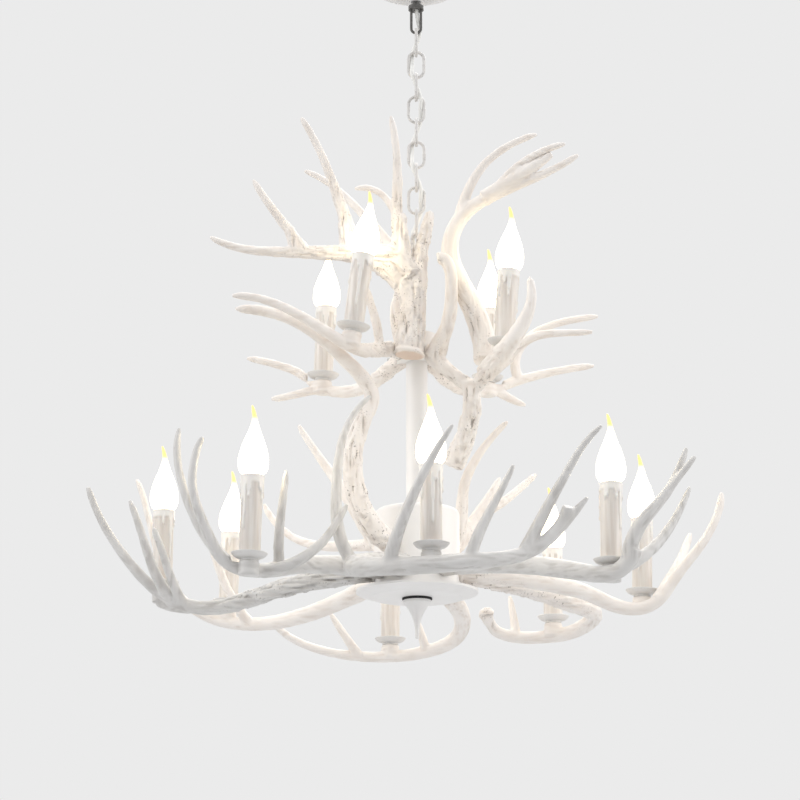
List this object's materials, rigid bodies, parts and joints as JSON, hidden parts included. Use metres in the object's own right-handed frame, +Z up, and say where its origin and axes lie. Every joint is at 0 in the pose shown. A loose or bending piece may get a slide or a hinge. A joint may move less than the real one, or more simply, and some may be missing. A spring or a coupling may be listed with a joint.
{
  "type": "antler chandelier",
  "caption": "Two-tier hanging chandelier of branching cast antlers around a central stem, with upright candle lamps on drip dishes, hung by a chain from a round canopy.",
  "frame": {"origin": "centre of the ceiling bracket's upper face, midway between its two screw holes, on the chain's axis", "axes": "+Z up into the ceiling, -Y towards the viewer of the picture, +X to the viewer's right"},
  "size_m": [0.7909, 0.6359, 0.8787],
  "materials": {
    "ivory_resin": "cast resin, grooved and pearled like antler, satin ivory-white paint",
    "white_metal": "smooth off-white enamel",
    "white_chain": "off-white enamel, a little worn where links meet",
    "dark_hook": "dark grey satin",
    "candle_plastic": "candle tube with moulded wax drips, soft gloss",
    "holder_plastic": "plain",
    "frosted_glass": "frosted white candle lamp with an amber flame tip",
    "cord_sheath": "white round flexible cord",
    "steel": "zinc plated"
  },
  "bodies": {
    "ceiling_fitting": {"ceiling_bracket": "steel", "tube_nut": "steel", "ceiling_hook": "dark_hook", "power_cord": "cord_sheath"},
    "canopy": {"canopy": "white_metal", "canopy_collar": "white_metal"},
    "link_1": {"chain_link_1": "white_chain"},
    "link_2": {"chain_link_2": "white_chain"},
    "link_3": {"chain_link_3": "white_chain"},
    "link_4": {"chain_link_4": "white_chain"},
    "link_5": {"chain_link_5": "white_chain"},
    "link_6": {"chain_link_6": "white_chain"},
    "link_7": {"chain_link_7": "white_chain"},
    "link_8": {"chain_link_8": "white_chain"},
    "link_9": {"chain_link_9": "white_chain"},
    "pendant": {"stem_bail": "white_chain", "stem_rod": "steel", "upper_tube": "white_metal", "stem_tube": "white_metal", "upper_hub": "white_metal", "hub_cap": "white_metal", "lower_hub": "white_metal", "bottom_dish": "white_metal", "finial": "white_metal", "stem_nuts": "steel", "antler_bolts": "steel", "front_antler": "ivory_resin", "front_right_antler": "ivory_resin", "right_antler": "ivory_resin", "back_right_antler": "ivory_resin", "back_antler": "ivory_resin", "back_left_antler": "ivory_resin", "left_antler": "ivory_resin", "front_left_antler": "ivory_resin", "left_upright_antler": "ivory_resin", "left_rear_upright_antler": "ivory_resin", "right_upright_antler": "ivory_resin", "right_long_antler": "ivory_resin", "tall_left_antler": "ivory_resin", "tall_right_antler": "ivory_resin", "upper_front_left_antler": "ivory_resin", "upper_back_left_antler": "ivory_resin", "upper_back_right_antler": "ivory_resin", "upper_back_antler": "ivory_resin", "drip_dishes": "white_metal", "candle_sleeves": "candle_plastic", "lampholders": "holder_plastic", "holder_nipples": "steel"},
    "bulb_front": {"bulb_front": "frosted_glass"},
    "bulb_front_right": {"bulb_front_right": "frosted_glass"},
    "bulb_right": {"bulb_right": "frosted_glass"},
    "bulb_back_right": {"bulb_back_right": "frosted_glass"},
    "bulb_back": {"bulb_back": "frosted_glass"},
    "bulb_back_left": {"bulb_back_left": "frosted_glass"},
    "bulb_left": {"bulb_left": "frosted_glass"},
    "bulb_front_left": {"bulb_front_left": "frosted_glass"},
    "bulb_upper_front_left": {"bulb_upper_front_left": "frosted_glass"},
    "bulb_upper_front_right": {"bulb_upper_front_right": "frosted_glass"},
    "bulb_upper_back_right": {"bulb_upper_back_right": "frosted_glass"},
    "bulb_upper_back_left": {"bulb_upper_back_left": "frosted_glass"}
  },
  "joints": [
    {"name": "canopy_slide", "type": "slide", "parent": "ceiling_fitting", "child": "canopy", "axis": [0, 0, -1], "range_m": [0, 0.005]},
    {"name": "link_1_swing", "type": "hinge", "parent": "ceiling_fitting", "child": "link_1", "pos_m": [0, 0, -0.08325], "axis": [1, 0, 0], "range_deg": [-5, 5], "deforming": ["power_cord"]},
    {"name": "link_2_swing", "type": "hinge", "parent": "link_1", "child": "link_2", "pos_m": [0, 0, -0.1145], "axis": [0, 1, 0], "range_deg": [-5, 5], "deforming": ["power_cord"]},
    {"name": "link_3_swing", "type": "hinge", "parent": "link_2", "child": "link_3", "pos_m": [0, 0, -0.1455], "axis": [1, 0, 0], "range_deg": [-5, 5], "deforming": ["power_cord"]},
    {"name": "link_4_swing", "type": "hinge", "parent": "link_3", "child": "link_4", "pos_m": [0, 0, -0.1765], "axis": [0, 1, 0], "range_deg": [-5, 5], "deforming": ["power_cord"]},
    {"name": "link_5_swing", "type": "hinge", "parent": "link_4", "child": "link_5", "pos_m": [0, 0, -0.2075], "axis": [1, 0, 0], "range_deg": [-5, 5], "deforming": ["power_cord"]},
    {"name": "link_6_swing", "type": "hinge", "parent": "link_5", "child": "link_6", "pos_m": [0, 0, -0.2385], "axis": [0, 1, 0], "range_deg": [-5, 5], "deforming": ["power_cord"]},
    {"name": "link_7_swing", "type": "hinge", "parent": "link_6", "child": "link_7", "pos_m": [0, 0, -0.2695], "axis": [1, 0, 0], "range_deg": [-5, 5], "deforming": ["power_cord"]},
    {"name": "link_8_swing", "type": "hinge", "parent": "link_7", "child": "link_8", "pos_m": [0, 0, -0.3005], "axis": [0, 1, 0], "range_deg": [-5, 5], "deforming": ["power_cord"]},
    {"name": "link_9_swing", "type": "hinge", "parent": "link_8", "child": "link_9", "pos_m": [0, 0, -0.3315], "axis": [1, 0, 0], "range_deg": [-5, 5], "deforming": ["power_cord"]},
    {"name": "pendant_swing", "type": "hinge", "parent": "link_9", "child": "pendant", "pos_m": [0, 0, -0.3625], "axis": [0, 1, 0], "range_deg": [-5, 5], "deforming": ["power_cord"]},
    {"name": "bulb_front_unscrew", "type": "slide", "parent": "pendant", "child": "bulb_front", "axis": [0, 0, 1], "range_m": [0, 0.03]},
    {"name": "bulb_front_right_unscrew", "type": "slide", "parent": "pendant", "child": "bulb_front_right", "axis": [0.0175, 0, 0.9998], "range_m": [0, 0.03]},
    {"name": "bulb_right_unscrew", "type": "slide", "parent": "pendant", "child": "bulb_right", "axis": [0.0175, 0, 0.9998], "range_m": [0, 0.03]},
    {"name": "bulb_back_right_unscrew", "type": "slide", "parent": "pendant", "child": "bulb_back_right", "axis": [0, 0, 1], "range_m": [0, 0.03]},
    {"name": "bulb_back_unscrew", "type": "slide", "parent": "pendant", "child": "bulb_back", "axis": [0, 0, 1], "range_m": [0, 0.03]},
    {"name": "bulb_back_left_unscrew", "type": "slide", "parent": "pendant", "child": "bulb_back_left", "axis": [0.0349, 0, 0.9994], "range_m": [0, 0.03]},
    {"name": "bulb_left_unscrew", "type": "slide", "parent": "pendant", "child": "bulb_left", "axis": [0, 0, 1], "range_m": [0, 0.03]},
    {"name": "bulb_front_left_unscrew", "type": "slide", "parent": "pendant", "child": "bulb_front_left", "axis": [0.0262, 0, 0.9997], "range_m": [0, 0.03]},
    {"name": "bulb_upper_front_left_unscrew", "type": "slide", "parent": "pendant", "child": "bulb_upper_front_left", "axis": [0.1305, 0, 0.9914], "range_m": [0, 0.03]},
    {"name": "bulb_upper_front_right_unscrew", "type": "slide", "parent": "pendant", "child": "bulb_upper_front_right", "axis": [0.0698, 0, 0.9976], "range_m": [0, 0.03]},
    {"name": "bulb_upper_back_right_unscrew", "type": "slide", "parent": "pendant", "child": "bulb_upper_back_right", "axis": [0.0349, 0, 0.9994], "range_m": [0, 0.03]},
    {"name": "bulb_upper_back_left_unscrew", "type": "slide", "parent": "pendant", "child": "bulb_upper_back_left", "axis": [0.0349, 0, 0.9994], "range_m": [0, 0.03]}
  ]
}
